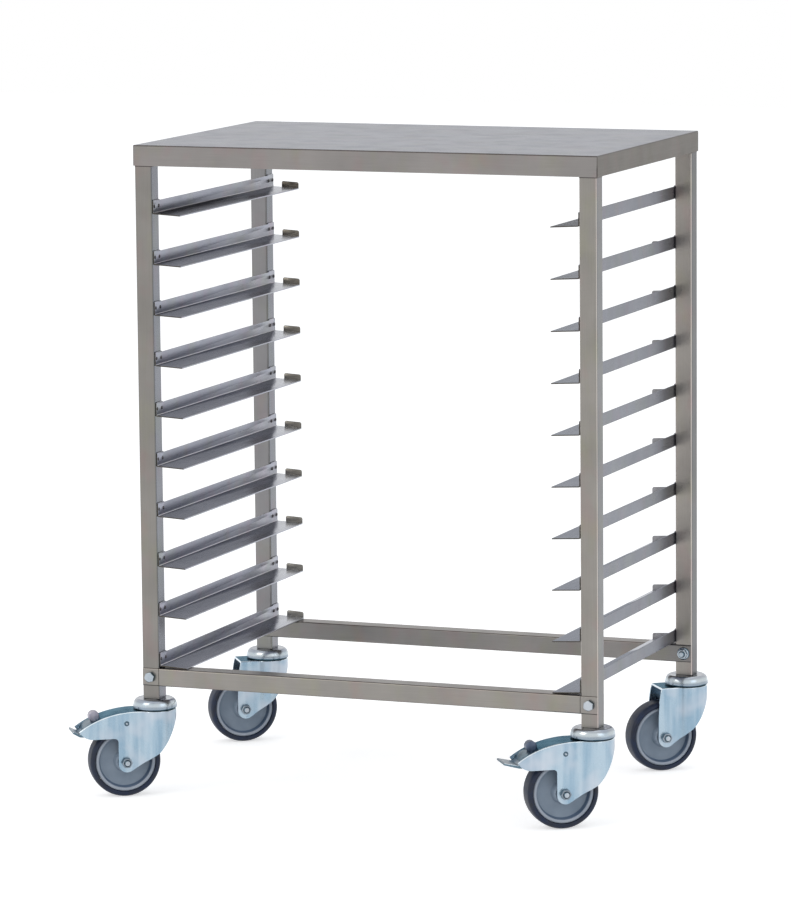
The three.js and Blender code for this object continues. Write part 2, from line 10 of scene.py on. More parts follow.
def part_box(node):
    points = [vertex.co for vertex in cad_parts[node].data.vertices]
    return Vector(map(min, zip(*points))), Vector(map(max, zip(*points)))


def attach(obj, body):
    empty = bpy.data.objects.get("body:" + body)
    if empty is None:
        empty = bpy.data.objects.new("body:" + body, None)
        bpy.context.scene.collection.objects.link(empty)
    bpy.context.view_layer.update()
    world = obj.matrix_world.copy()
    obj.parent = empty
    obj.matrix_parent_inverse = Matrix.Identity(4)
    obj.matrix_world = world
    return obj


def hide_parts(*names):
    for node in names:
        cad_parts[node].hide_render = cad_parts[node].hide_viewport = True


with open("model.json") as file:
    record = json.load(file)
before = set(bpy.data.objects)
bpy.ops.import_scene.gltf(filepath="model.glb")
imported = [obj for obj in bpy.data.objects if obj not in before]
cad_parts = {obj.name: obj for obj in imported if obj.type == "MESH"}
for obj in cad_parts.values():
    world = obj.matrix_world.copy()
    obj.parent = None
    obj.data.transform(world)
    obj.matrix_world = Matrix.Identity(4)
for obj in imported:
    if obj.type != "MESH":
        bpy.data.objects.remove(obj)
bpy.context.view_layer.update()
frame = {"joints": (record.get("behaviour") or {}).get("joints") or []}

# Table trolley: worktop, square-tube frame, tray runners and swivel casters.
# Sizes in the tables are millimetres; everything in the scene is metres.
MM = 0.001
PAST = 5      # how far a cutter stands past what it cuts
CORNERS = ("front_left", "front_right", "rear_left", "rear_right")
joints = {joint["name"]: joint for joint in frame["joints"]}


def middle(node):
    low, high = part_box(node)
    return (low + high) / 2


centre = middle("worktop")
leg_places = {corner: middle("leg_" + corner) for corner in CORNERS}

frame_half_x, leg_size = 335, 25
slot_gap = 0.2      # between a leg and the cross rail's slot round it
inner_face = frame_half_x - leg_size - slot_gap      # of the legs on one side, from the middle


# ---- Meshes ----

def new_object(name, data):
    made = bpy.data.objects.new(name, data)
    bpy.context.scene.collection.objects.link(made)
    return made


@contextmanager
def editing(obj):
    """Opens the object's mesh for work on its vertices, edges and faces, and writes it back."""
    work = bmesh.new()
    work.from_mesh(obj.data)
    yield work
    work.to_mesh(obj.data)
    work.free()


def mesh_object(name, vertices, faces):
    """Vertices in millimetres."""
    mesh = bpy.data.meshes.new(name)
    mesh.from_pydata([Vector(v) * MM for v in vertices], [], faces)
    mesh.validate()
    return turn_outwards(new_object(name, mesh))


def turn_outwards(obj):
    with editing(obj) as work:
        bmesh.ops.recalc_face_normals(work, faces=work.faces)
    return obj


def flatten(obj):
    """The modifiers' result becomes the object's own mesh."""
    graph = bpy.context.evaluated_depsgraph_get()
    mesh = bpy.data.meshes.new_from_object(
        obj.evaluated_get(graph), preserve_all_data_layers=True, depsgraph=graph)
    obj.modifiers.clear()
    obj.data = mesh
    return obj


def combine(obj, tool, operation="DIFFERENCE"):
    step = obj.modifiers.new("combine", "BOOLEAN")
    step.operation, step.solver, step.object = operation, "EXACT", tool
    flatten(obj)
    bpy.data.objects.remove(tool)


def prism(name, outline, start, end, along="y"):
    """An outline carried from start to end. Its u and v are x, z along y; x, y along z; y, z along x."""
    place = {
        "y": lambda u, v, w: (u, w, v),
        "z": lambda u, v, w: (u, v, w),
        "x": lambda u, v, w: (w, u, v),
    }[along]
    count = len(outline)
    vertices = [place(u, v, w) for w in (start, end) for u, v in outline]
    faces = [tuple(range(count)), tuple(range(count, 2 * count))]
    faces += [(i, (i + 1) % count, count + (i + 1) % count, count + i) for i in range(count)]
    return mesh_object(name, vertices, faces)


def box(name, low, high):
    (x, y, z), (X, Y, Z) = low, high
    return prism(name, [(x, y), (X, y), (X, Y), (x, Y)], z, Z, "z")


def lathe(name, profile, sides=96, along="z"):
    """A profile of (radius, height) turned about an axis. It closes on itself, or starts and ends there."""
    rings, vertices = [], []
    for radius, height in profile:
        if radius == 0:
            rings.append([len(vertices)] * sides)
            vertices.append((0, 0, height))
            continue
        rings.append([len(vertices) + i for i in range(sides)])
        for i in range(sides):
            turn = 2 * math.pi * i / sides
            vertices.append((radius * math.cos(turn), radius * math.sin(turn), height))
    closed = profile[0][0] != 0
    pairs = list(zip(rings, rings[1:])) + ([(rings[-1], rings[0])] if closed else [])
    faces = []
    for lower, upper in pairs:
        for i in range(sides):
            j = (i + 1) % sides
            corners = list(dict.fromkeys((lower[i], lower[j], upper[j], upper[i])))
            if len(corners) > 2:
                faces.append(tuple(corners))
    if along == "y":
        vertices = [(x, z, -y) for x, y, z in vertices]
    if along == "x":
        vertices = [(z, x, y) for x, y, z in vertices]
    return mesh_object(name, vertices, faces)


def arc(x, y, radius, start, end, steps=8):
    """Points on a circle, from one angle in degrees to another."""
    turns = [math.radians(start + (end - start) * i / steps) for i in range(steps + 1)]
    return [(x + radius * math.cos(t), y + radius * math.sin(t)) for t in turns]


def swept(start, pull, end, steps=12):
    """Points on a curve that leaves start and reaches end towards pull."""
    shares = [i / steps for i in range(1, steps + 1)]
    return [tuple((1 - t) ** 2 * a + 2 * t * (1 - t) * b + t * t * c for a, b, c in zip(start, pull, end))
            for t in shares]


def both_ends(side):
    """Half a lathe's profile and its mirror image past the middle."""
    return side + [(radius, -height) for radius, height in reversed(side)]


def rounded(width, height, radius, steps=5):
    x, y = width / 2 - radius, height / 2 - radius
    points = []
    for sx, sy, start in ((1, 1, 0), (-1, 1, 90), (-1, -1, 180), (1, -1, 270)):
        points += arc(sx * x, sy * y, radius, start, start + 90, steps)
    return points


def shade(obj):
    for face in obj.data.polygons:
        face.use_smooth = True


def soften(obj, width, segments=2, limit=35):
    """Rounds the sharp edges and lets the large faces lead the shading."""
    shade(obj)
    edges = obj.modifiers.new("edges", "BEVEL")
    edges.width, edges.segments = width * MM, segments
    edges.limit_method, edges.angle_limit = "ANGLE", math.radians(limit)
    normals = obj.modifiers.new("normals", "WEIGHTED_NORMAL")
    normals.keep_sharp = True
    return flatten(obj)


def crease(obj, limit=38):
    """Smooth shading, broken at the edges sharper than the limit."""
    shade(obj)
    with editing(obj) as work:
        for edge in work.edges:
            edge.smooth = len(edge.link_faces) == 2 and edge.calc_face_angle(0) < math.radians(limit)
    return obj


def moved(x, y, z):
    """A move in millimetres."""
    return Matrix.Translation(Vector((x, y, z)) * MM)


def moved_to(place, height=0):
    """A move to a place's x and y in metres, at a height in millimetres."""
    return Matrix.Translation((place.x, place.y, height * MM))


def placed(obj, matrix):
    obj.data.transform(matrix)
    obj.data.update()
    return obj


def joined(name, pieces):
    """Several objects as one mesh, each with its own material kept."""
    made = new_object(name, bpy.data.meshes.new(name))
    with bpy.context.temp_override(active_object=made, selected_editable_objects=[made, *pieces]):
        bpy.ops.object.join()
    return made


def finish_faces(obj, choose):
    """Gives each face the finish that choose picks, from the face's normal and its middle in millimetres."""
    picked = [choose(face.normal, face.center / MM) for face in obj.data.polygons]
    finishes = list(dict.fromkeys(picked))
    obj.data.materials.clear()
    for finish in finishes:
        obj.data.materials.append(finish)
    for face, finish in zip(obj.data.polygons, picked):
        face.material_index = finishes.index(finish)


def dress(obj, finish, body, nodes=()):
    """Gives a finished piece its material and its body, and hides the CAD nodes that it stands for."""
    if finish is not None:
        obj.data.materials.clear()
        obj.data.materials.append(finish)
    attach(obj, body)
    if nodes:
        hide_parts(*nodes)


# ---- Materials ----

def fill(tree, node, **inputs):
    """Sets or links a node's inputs, called by name with _ for a space, or by number such as _0."""
    for key, value in inputs.items():
        socket = node.inputs[int(key[1:])] if key[0] == "_" else node.inputs[key.replace("_", " ")]
        if isinstance(value, bpy.types.NodeSocket):
            tree.links.new(value, socket)
        else:
            socket.default_value = value
    return node


def add(tree, kind, settings=None, **inputs):
    made = tree.nodes.new(kind)
    for key, value in (settings or {}).items():
        setattr(made, key, value)
    return fill(tree, made, **inputs)


def empty_tree(owner):
    """The node tree of a material or a world, with nothing in it yet."""
    owner.use_nodes = True
    owner.node_tree.nodes.clear()
    return owner.node_tree


def start_material(name, **shader_inputs):
    made = bpy.data.materials.new(name)
    tree = empty_tree(made)
    shader = add(tree, "ShaderNodeBsdfPrincipled", **shader_inputs)
    add(tree, "ShaderNodeOutputMaterial", Surface=shader.outputs[0])
    place = add(tree, "ShaderNodeTexCoord").outputs["Object"]
    return made, tree, shader, place


def noise(tree, place, scale, detail=2.0, roughness=0.5, stretch=(1, 1, 1)):
    mapped = add(tree, "ShaderNodeMapping", Vector=place, Scale=stretch).outputs[0]
    return add(tree, "ShaderNodeTexNoise", Vector=mapped, Scale=scale, Detail=detail,
               Roughness=roughness).outputs[0]


def ranged(tree, value, low, high, start=0.3, end=0.7):
    return add(tree, "ShaderNodeMapRange", _0=value, _1=start, _2=end, _3=low, _4=high).outputs[0]


def blended(tree, factor, first, second, way="MIX"):
    return add(tree, "ShaderNodeMix", {"data_type": "RGBA", "blend_type": way},
               _0=factor, _6=first, _7=second).outputs[2]


def multiplied(tree, first, factor, second):
    return blended(tree, factor, first, second, "MULTIPLY")


def worked(tree, operation, first, second):
    return add(tree, "ShaderNodeMath", {"operation": operation}, _0=first, _1=second).outputs[0]


def total(tree, first, second):
    return worked(tree, "ADD", first, second)


def scored(tree, tone, share, strokes, low, high):
    """The tone with its brightness broken up by the strokes."""
    level = ranged(tree, strokes, low, high)
    grey = add(tree, "ShaderNodeCombineColor", _0=level, _1=level, _2=level).outputs[0]
    return multiplied(tree, tone, share, grey)


def bumped(tree, shader, height, distance, strength=1.0):
    made = add(tree, "ShaderNodeBump", Height=height, Distance=distance * MM, Strength=strength)
    fill(tree, shader, Normal=made.outputs["Normal"])


def colour(red_green_blue):
    """A colour as it looks on screen, 0 to 255, in linear light."""
    levels = [c / 255 for c in red_green_blue]
    return [c / 12.92 if c <= 0.04045 else ((c + 0.055) / 1.055) ** 2.4 for c in levels] + [1.0]


strokes_across, strokes_along = 900, 14      # how many of the ground strokes go into a metre


def brushed_steel(name, light, dark, roughness, along, metallic=0.92, scoring=0.22):
    """Ground stainless sheet: fine strokes along one axis, drifts of tone, faint heat tints and smears."""
    made, tree, shader, place = start_material(name, Metallic=metallic)
    stretch = [strokes_across] * 3
    stretch["xyz".index(along)] = strokes_along
    strokes = noise(tree, place, 1, 3, 0.6, stretch)
    drift = noise(tree, place, 11, 3, 0.6)
    rosy = noise(tree, place, 34, 2, 0.5, (1, 1.2, 0.7))
    olive = noise(tree, place, 27, 2, 0.5, (1.2, 1, 0.6))
    smears = noise(tree, place, 26, 4, 0.6, (1, 1, 0.6))
    tone = blended(tree, ranged(tree, drift, 0, 1), colour(light), colour(dark))
    tone = multiplied(tree, tone, ranged(tree, rosy, 0, 1, 0.5, 0.72), (1.05, 0.95, 0.97, 1))
    tone = multiplied(tree, tone, ranged(tree, olive, 0, 1, 0.5, 0.72), (1.0, 1.02, 0.92, 1))
    dull = total(tree, ranged(tree, strokes, -0.04, 0.04), ranged(tree, smears, 0, 0.06, 0.45, 0.75))
    fill(tree, shader, Base_Color=scored(tree, tone, scoring, strokes, 0.72, 1.12),
         Roughness=total(tree, dull, roughness))
    bumped(tree, shader, strokes, 0.015, 0.3)
    return made


def zinc_plate(name, light, dark, pale, roughness, metallic, glancing=(255, 255, 255)):
    """Blue-passivated zinc: soft upright banding that is painted reflection, pale clouds and a fine crystal
    grain.
    """
    made, tree, shader, place = start_material(name, Metallic=metallic, Specular_Tint=colour(glancing))
    reflection_bands = noise(tree, place, 1, 2, 0.5, (85, 85, 8))
    clouds = noise(tree, place, 24, 2, 0.5)
    grain = add(tree, "ShaderNodeTexVoronoi", Vector=place, Scale=900).outputs["Distance"]
    tone = blended(tree, ranged(tree, reflection_bands, 0, 1, 0.36, 0.64), colour(light), colour(dark))
    misted = blended(tree, ranged(tree, clouds, 0, 0.65, 0.46, 0.68), tone, colour(pale))
    rough = total(tree, ranged(tree, clouds, -0.03, 0.05), ranged(tree, grain, 0, 0.05, 0, 0.6))
    fill(tree, shader, Base_Color=misted, Roughness=total(tree, rough, roughness))
    bumped(tree, shader, grain, 0.012, 0.2)
    return made


def flange_steel(name, sign, light, dark, glancing):
    """The trays' rest: a darker copy of the runners' steel as painted shade, with a slanting bright patch
    before the stop as a painted reflection.
    """
    made, tree, shader, place = start_material(name, Metallic=0.93)
    strokes = noise(tree, place, 1, 3, 0.6, (strokes_across, strokes_along, strokes_across))
    drift = noise(tree, place, 14, 3, 0.6)
    tone = blended(tree, ranged(tree, drift, 0, 1), colour(light), colour(dark))
    slant, setback, ramp = -sign * 2.7, 0.0105, 0.004
    bend_x = centre.x + sign * inner_face * MM
    patch_start = leg_places["rear_left"].y + setback + slant * bend_x
    along = add(tree, "ShaderNodeSeparateXYZ", Vector=place)
    reach = worked(tree, "MULTIPLY", along.outputs["X"], slant)
    reflection_patch = ranged(tree, total(tree, along.outputs["Y"], reach), 0, 0.9,
                    patch_start - 1.5 * ramp, patch_start + ramp)
    # Painted reflection: a bright patch before the stop, bounded by a slanting line, with a white glancing
    # tint in it.
    tone = blended(tree, reflection_patch, tone, colour((190, 193, 201)))
    fill(tree, shader, Specular_Tint=blended(tree, reflection_patch, colour(glancing), (1, 1, 1, 1)),
         Base_Color=scored(tree, tone, 0.3, strokes, 0.8, 1.08), Roughness=ranged(tree, strokes, 0.25, 0.34))
    bumped(tree, shader, strokes, 0.015, 0.3)
    return made


def bowl_plate(name):
    """Bright zinc on the pressed bowl, banded by height as painted reflection: a dark rolled foot as painted
    shade, a light belly and a greyer shoulder and top.
    """
    made, tree, shader, place = start_material(name, Metallic=0.97)
    height = add(tree, "ShaderNodeSeparateXYZ", Vector=place).outputs["Z"]
    clouds = noise(tree, place, 38, 2, 0.5)
    level = total(tree, height, ranged(tree, clouds, -0.0008, 0.0008))
    tone = colour((62, 92, 106))
    # Where each painted reflection band starts and is in full, in metres above the floor
    reflection_bands = ((0.1229, 0.1237, (146, 157, 168)), (0.1255, 0.128, (194, 203, 208)),
             (0.1305, 0.1332, (166, 171, 179)), (0.135, 0.1357, (150, 153, 161)))
    for start, end, next_tone in reflection_bands:
        tone = blended(tree, ranged(tree, level, 0, 1, start, end), tone, colour(next_tone))
    clouded = multiplied(tree, tone, ranged(tree, clouds, 0, 1, 0.45, 0.65), (0.9, 0.95, 1, 1))
    fill(tree, shader, Base_Color=clouded, Roughness=ranged(tree, clouds, 0.2, 0.26))
    return made


def stop_steel(name, low, high):
    """The stops' bent ends: dull steel with patchy darker spots, darker on the upper runners."""
    made, tree, shader, place = start_material(name, Metallic=0.9)
    height = add(tree, "ShaderNodeSeparateXYZ", Vector=place).outputs["Z"]
    tone = blended(tree, ranged(tree, height, 0, 1, 0.18, 0.83), colour(low), colour(high))
    burn = noise(tree, place, 130, 3, 0.55)
    burnt = multiplied(tree, tone, ranged(tree, burn, 0, 1), (0.88, 0.87, 0.86, 1))
    fill(tree, shader, Base_Color=burnt, Roughness=ranged(tree, burn, 0.25, 0.4))
    bumped(tree, shader, burn, 0.02, 0.3)
    return made


def rubber(name, deep, dusty):
    made, tree, shader, place = start_material(name, Specular_IOR_Level=0.45)
    dust = noise(tree, place, 60, 5, 0.65)
    skin = noise(tree, place, 900, 3, 0.6)
    tone = blended(tree, ranged(tree, dust, 0, 1, 0.35, 0.8), colour(deep), colour(dusty))
    fill(tree, shader, Base_Color=tone, Roughness=ranged(tree, dust, 0.42, 0.62))
    bumped(tree, shader, skin, 0.05, 0.4)
    return made


def moulded_plastic(name, light, dark, roughness=0.45):
    made, tree, shader, place = start_material(name, Specular_IOR_Level=0.5)
    flow = noise(tree, place, 45, 3, 0.5)
    grain = noise(tree, place, 1600, 2, 0.5)
    tone = blended(tree, ranged(tree, flow, 0, 1), colour(light), colour(dark))
    fill(tree, shader, Base_Color=tone, Roughness=ranged(tree, grain, roughness - 0.06, roughness + 0.1))
    bumped(tree, shader, grain, 0.03, 0.35)
    return made


# Ground sheet and tube: light tone, dark tone, roughness, axis of the strokes, and where they differ,
# metallic share and depth of scoring. Most rows are lit and shaded copies of one ground steel, for faces
# that turn different ways or pieces that stand in different places: painted light and shade. Some rows
# are painted highlight lines on bends and corners, and painted shade on bent edges, rail edges, cut ends and
# rivets.
STEELS = {
    "worktop": ((113, 117, 131), (103, 107, 119), 0.3, "x"),
    "painted_shade": ((88, 84, 82), (74, 70, 69), 0.3, "x"),
    "skirt": ((143, 139, 137), (132, 129, 127), 0.33, "x"),
    "side_skirt": ((104, 99, 93), (94, 90, 84), 0.33, "y"),
    "front_left_tube": ((138, 135, 131), (127, 124, 120), 0.32, "z"),
    "front_right_tube": ((146, 142, 137), (134, 131, 126), 0.32, "z"),
    "rear_left_tube": ((138, 137, 138), (126, 125, 127), 0.32, "z"),
    "rear_right_tube": ((160, 155, 149), (148, 143, 138), 0.32, "z"),
    "left_inner_tube": ((130, 132, 139), (117, 120, 127), 0.24, "z"),
    "front_outer_tube": ((126, 126, 127), (114, 115, 116), 0.3, "z"),
    "rear_outer_tube": ((98, 99, 101), (88, 89, 91), 0.3, "z"),
    "corner_highlight": ((192, 186, 180), (178, 172, 167), 0.26, "z"),
    "corner_shade": ((124, 124, 121), (112, 112, 110), 0.3, "z"),
    "rail": ((148, 144, 139), (137, 134, 130), 0.33, "x"),
    "rear_rail": ((135, 132, 130), (123, 121, 119), 0.33, "x"),
    "rail_edge_shade": ((112, 106, 102), (98, 93, 90), 0.3, "x"),
    "runner": ((166, 169, 181), (157, 160, 172), 0.3, "y", 0.97, 0.1),
    "runner_back_shade": ((127, 130, 139), (115, 118, 127), 0.3, "y"),
    "runner_bend": ((200, 200, 206), (184, 185, 192), 0.3, "y"),
    "runner_end_shade": ((84, 80, 74), (72, 69, 64), 0.35, "x"),
    "rivet": ((92, 90, 92), (72, 70, 72), 0.35, "x"),
}
steel = {name: brushed_steel(name + "_steel", *values) for name, values in STEELS.items()}
# The left and right flanges are lit and shaded copies of one steel: painted light and shade.
left_flange_steel = flange_steel("left_flange_steel", -1, (131, 133, 141), (117, 119, 127), (200, 201, 206))
right_flange_steel = flange_steel("right_flange_steel", 1, (142, 145, 154), (128, 131, 140), (205, 208, 214))
# The left stops take a darker, warmer copy of the right stops' steel: painted shade.
left_stop_steel = stop_steel("left_stop_steel", (142, 140, 135), (120, 115, 106))
right_stop_steel = stop_steel("right_stop_steel", (144, 144, 148), (136, 136, 138))
misty, grey_mist = (198, 203, 212), (178, 182, 188)
dusty_blue = (128, 138, 156)
fork_zinc = zinc_plate("fork_zinc", (172, 191, 204), (142, 168, 187), misty, 0.24, 0.95)
# The web zinc is a darker copy for painted shade on the fork's closed top; the edge zinc a lighter copy for
# painted highlights on pressed edges.
web_shade_zinc = zinc_plate("web_shade_zinc", (98, 126, 141), (68, 99, 117), (130, 163, 178), 0.22, 0.95, (172, 190, 202))
edge_highlight_zinc = zinc_plate("edge_highlight_zinc", (226, 236, 243), (204, 220, 230), (238, 242, 248), 0.16, 0.95)
bowl_zinc = bowl_plate("bowl_zinc")
fastener_zinc = zinc_plate("fastener_zinc", (182, 190, 197), (160, 170, 179), grey_mist, 0.22, 0.98)
dark_zinc = zinc_plate("dark_zinc", (98, 120, 134), (70, 90, 104), (120, 146, 160), 0.26, 0.95)
lip_zinc = zinc_plate("lip_zinc", (150, 160, 170), (118, 130, 142), (168, 176, 184), 0.28, 0.9)
grey_knob_steel = zinc_plate("grey_knob_steel", (170, 166, 178), (148, 147, 162), grey_mist, 0.34, 0.8)
dark_knob_steel = zinc_plate("dark_knob_steel", (106, 116, 136), (84, 94, 114), dusty_blue, 0.3, 0.9)
tyre_rubber = rubber("tyre_rubber", (8, 19, 38), (18, 40, 74))
rim_plastic = moulded_plastic("rim_plastic", (150, 164, 179), (134, 149, 165))
lit_ring_plastic = moulded_plastic("lit_ring_plastic", (176, 184, 195), (160, 170, 183), 0.35)
shaded_wall_plastic = moulded_plastic("shaded_wall_plastic", (104, 120, 142), (90, 108, 132), 0.35)


# ---- Repeats made with geometry nodes ----

def rows_tree(name, stages):
    """A node tree that repeats its geometry in rows, one row of the last result for each stage."""
    tree = bpy.data.node_groups.new(name, "GeometryNodeTree")

    def socket(name, kind, way="INPUT"):
        return tree.interface.new_socket(name, in_out=way, socket_type="NodeSocket" + kind).identifier

    socket("Geometry", "Geometry")
    sockets = {stage: (socket(stage + " copies", "Int"), socket(stage + " step", "Vector"))
               for stage in stages}
    sockets["finish"] = socket("Finish", "Material")
    socket("Geometry", "Geometry", "OUTPUT")
    source = tree.nodes.new("NodeGroupInput")
    result = source.outputs["Geometry"]
    for stage in stages:
        line = add(tree, "GeometryNodeMeshLine", {"mode": "OFFSET"},
                   Count=source.outputs[stage + " copies"], Offset=source.outputs[stage + " step"])
        result = add(tree, "GeometryNodeInstanceOnPoints", Points=line.outputs[0], Instance=result).outputs[0]
    real = add(tree, "GeometryNodeRealizeInstances", Geometry=result).outputs[0]
    done = add(tree, "GeometryNodeSetMaterial", Geometry=real, Material=source.outputs["Finish"]).outputs[0]
    add(tree, "NodeGroupOutput", _0=done)
    return tree, sockets


def in_rows(obj, tree, sockets, finish, **stages):
    """Repeats obj with the tree. Each stage is (copies, step in millimetres)."""
    step = obj.modifiers.new("rows", "NODES")
    step.node_group = tree
    step[sockets["finish"]] = finish
    for stage, (copies, offset) in stages.items():
        step[sockets[stage][0]] = copies
        step[sockets[stage][1]] = [v * MM for v in offset]
    flatten(obj)


# ---- Worktop ----

sheet = 1.2
top_height = 907
skirt_bottom = 878.5
top_half_x, top_half_y = 336.5, 216.5
fold_radius = 1.6


def folded_block(name, half_x, half_y, low, high, radius):
    """A block whose top edges and upright edges are rounded."""
    made = box(name, (-half_x, -half_y, low), (half_x, half_y, high))
    with editing(made) as work:
        edges = [e for e in work.edges if max(v.co.z for v in e.verts) > (high - 1) * MM]
        bmesh.ops.bevel(work, geom=edges, offset=radius * MM, segments=4, profile=0.5, affect="EDGES")
    return made


def corner_seam():
    """A cutter for the open seam at a folded corner: a slit that narrows to a line near the top."""
    low = skirt_bottom - PAST
    half = [(0.45, low), (0.45, skirt_bottom + 10), (0.14, skirt_bottom + 17), (0.1, top_height - 2.6)]
    return prism("seam", half + [(-y, z) for y, z in reversed(half)], -6, 6, "x")


def worktop_finish(normal, at):
    # Painted light and shade: the top, the front and rear skirts and the side skirts take lit and shaded
    # copies of one steel, and the rounded bend along the top a dark steel as a painted reflection.
    if normal.z > 0.93:
        return steel["worktop"]
    if normal.z > 0.12 and at.z > top_height - fold_radius - 0.2:
        return steel["painted_shade"]
    return steel["side_skirt" if abs(normal.x) > 0.7 else "skirt"]


def make_worktop():
    made = folded_block("worktop_sheet", top_half_x, top_half_y, skirt_bottom, top_height, fold_radius)
    hollow = folded_block("hollow", top_half_x - sheet, top_half_y - sheet,
                          skirt_bottom - PAST, top_height - sheet, fold_radius - sheet)
    combine(made, hollow)
    for sx in (-1, 1):
        for sy in (-1, 1):
            seam = placed(corner_seam(), Matrix.Rotation(sx * sy * math.pi / 4, 4, "Z"))
            combine(made, placed(seam, moved(sx * (top_half_x - sheet), sy * (top_half_y - sheet), 0)))
    soften(made, 0.2, 2, 50)
    finish_faces(made, worktop_finish)
    placed(made, moved_to(centre))
    dress(made, None, "root", ["worktop"])


make_worktop()


# ---- Legs and cross rails ----

leg_wall, leg_radius = 1.5, 2.6
leg_bottom, leg_top = 136, 905.6
rail_depth, rail_height, rail_wall, rail_radius = 28.4, 25, 1.5, 2.2
rail_middle = 167
tab_setback = 1.2
line_half, line_depth = 0.4, 0.6      # of the joint line where a rail's tab begins
rail_cut = 20      # half the height of what cuts a rail right through


def make_leg(corner):
    made = prism("leg_tube_" + corner, rounded(leg_size, leg_size, leg_radius, 6), leg_bottom, leg_top, "z")
    inner = leg_size - 2 * leg_wall
    bore = prism("bore", rounded(inner, inner, leg_radius - leg_wall, 4),
                 leg_bottom - PAST, leg_top + PAST, "z")
    combine(made, bore)
    soften(made, 0.2, 1, 60)
    row, hand = corner.split("_")
    # Painted light and shade: each leg takes its own lit or shaded copy of the tube steel, its faces turned
    # towards +x another copy, and its rounded corners a painted highlight on the right-hand legs and painted
    # shade on the left-hand ones.
    bend_steel = steel["corner_shade" if hand == "left" else "corner_highlight"]
    side_steel = steel["left_inner_tube" if hand == "left" else row + "_outer_tube"]

    def leg_finish(normal, at):
        if min(abs(normal.x), abs(normal.y)) > 0.5:
            return bend_steel
        return side_steel if normal.x > 0.7 else steel[corner + "_tube"]

    finish_faces(made, leg_finish)
    placed(made, moved_to(leg_places[corner]))
    dress(made, None, "root", ["leg_" + corner])


def add_skirt_shadow_lines():
    """A painted shadow: a dark ring round each leg just below the skirt's lower edge, where the skirt casts
    its shade.
    """
    rings = []
    for place in leg_places.values():
        ring = prism("ring", rounded(leg_size + 0.5, leg_size + 0.5, leg_radius + 0.2, 6),
                     skirt_bottom - 1.3, skirt_bottom - 0.1, "z")
        combine(ring, prism("bore", rounded(leg_size - 1, leg_size - 1, leg_radius - 0.5, 6),
                            skirt_bottom - PAST, skirt_bottom + PAST, "z"))
        rings.append(placed(ring, moved_to(place)))
    dress(joined("skirt_shadow_lines", rings), steel["painted_shade"], "root")


def make_cross_rail(side):
    half = frame_half_x - tab_setback
    made = prism("cross_rail_tube_" + side, rounded(rail_depth, rail_height, rail_radius), -half, half, "x")
    bore = prism("bore", rounded(rail_depth - 2 * rail_wall, rail_height - 2 * rail_wall,
                                 rail_radius - rail_wall), -half - PAST, half + PAST, "x")
    combine(made, bore)
    depth = leg_size / 2 + slot_gap
    for low, high in ((-half - PAST, -inner_face), (inner_face, half + PAST)):
        combine(made, box("slot", (low, -depth, -rail_cut), (high, depth, rail_cut)))
    outer_face = rail_depth / 2 * (-1 if side == "front" else 1)
    for x in (-inner_face, inner_face):
        combine(made, box("joint_line", (x - line_half, outer_face - line_depth, -rail_cut),
                          (x + line_half, outer_face + line_depth, rail_cut)))
    soften(made, 0.25, 2, 50)

    def rail_finish(normal, at):
        # Painted shade: the top and bottom faces take a darker steel, and the joint line's groove a dark
        # steel; the front and rear rails are lit and shaded copies of one steel.
        if abs(normal.z) > 0.6:
            return steel["rail_edge_shade"]
        if abs(abs(at.x) - inner_face) < 0.5 and 0.2 < abs(outer_face) - abs(at.y) < 1:
            return steel["painted_shade"]
        return steel["rail" if side == "front" else "rear_rail"]

    finish_faces(made, rail_finish)
    place = (leg_places[side + "_left"] + leg_places[side + "_right"]) / 2
    placed(made, moved_to(place, rail_middle))
    dress(made, None, "root", ["cross_rail_" + side])


for corner in CORNERS:
    make_leg(corner)
for side in ("front", "rear"):
    make_cross_rail(side)
add_skirt_shadow_lines()


# ---- Tray runners and their rivets ----

runner_count, runner_pitch, lowest_runner = 10, 70, 182
runner_length, runner_height, runner_reach = 426, 18, 41
runner_sheet, runner_bend, runner_fillet = 1.5, 2.2, 1.2
flange_droop = 2.2      # at its tip: the angle is bent a little more than square
tab_length, tab_rise, tab_round = 22, 1.4, 1.2
stop_width, stop_height, stop_radius = 26, 10, 2.6
rivet_radius, rivet_height = 2.5, 0.9
rivet_gap, rivet_level = 15, 10.5
runner_inset = 2      # from the leg's outer face to the runner's end


def drooped(obj):
    """Lowers what stands off the upright, in step with its reach."""
    for vertex in obj.data.vertices:
        out = -vertex.co.x / MM - runner_sheet
        if out > 0:
            vertex.co.z -= flange_droop * MM * out / (runner_reach - runner_sheet)
    return obj


def make_runner(name):
    """The right-hand runner, from its front end at y 0. Its upright's outer face is x 0."""
    inner = runner_sheet + runner_fillet
    angle = [(0, runner_height), (-runner_sheet, runner_height)]
    angle += arc(-inner, inner, runner_fillet, 0, -90, 6)
    angle += [(-runner_reach, runner_sheet), (-runner_reach, 0)]
    angle += arc(-runner_bend, runner_bend, runner_bend, -90, 0, 6)
    made = prism(name, angle, 0, runner_length)
    for start, end in ((0, tab_length), (runner_length - tab_length, runner_length)):
        top = runner_height + tab_rise
        outline = [(start, runner_height - 4), (end, runner_height - 4), (end, top - tab_round)]
        outline += [(end - tab_round, top), (start + tab_round, top), (start, top - tab_round)]
        combine(made, prism("tab", outline, -runner_sheet, 0, "x"), "UNION")
    return drooped(soften(made, 0.3, 2, 50))


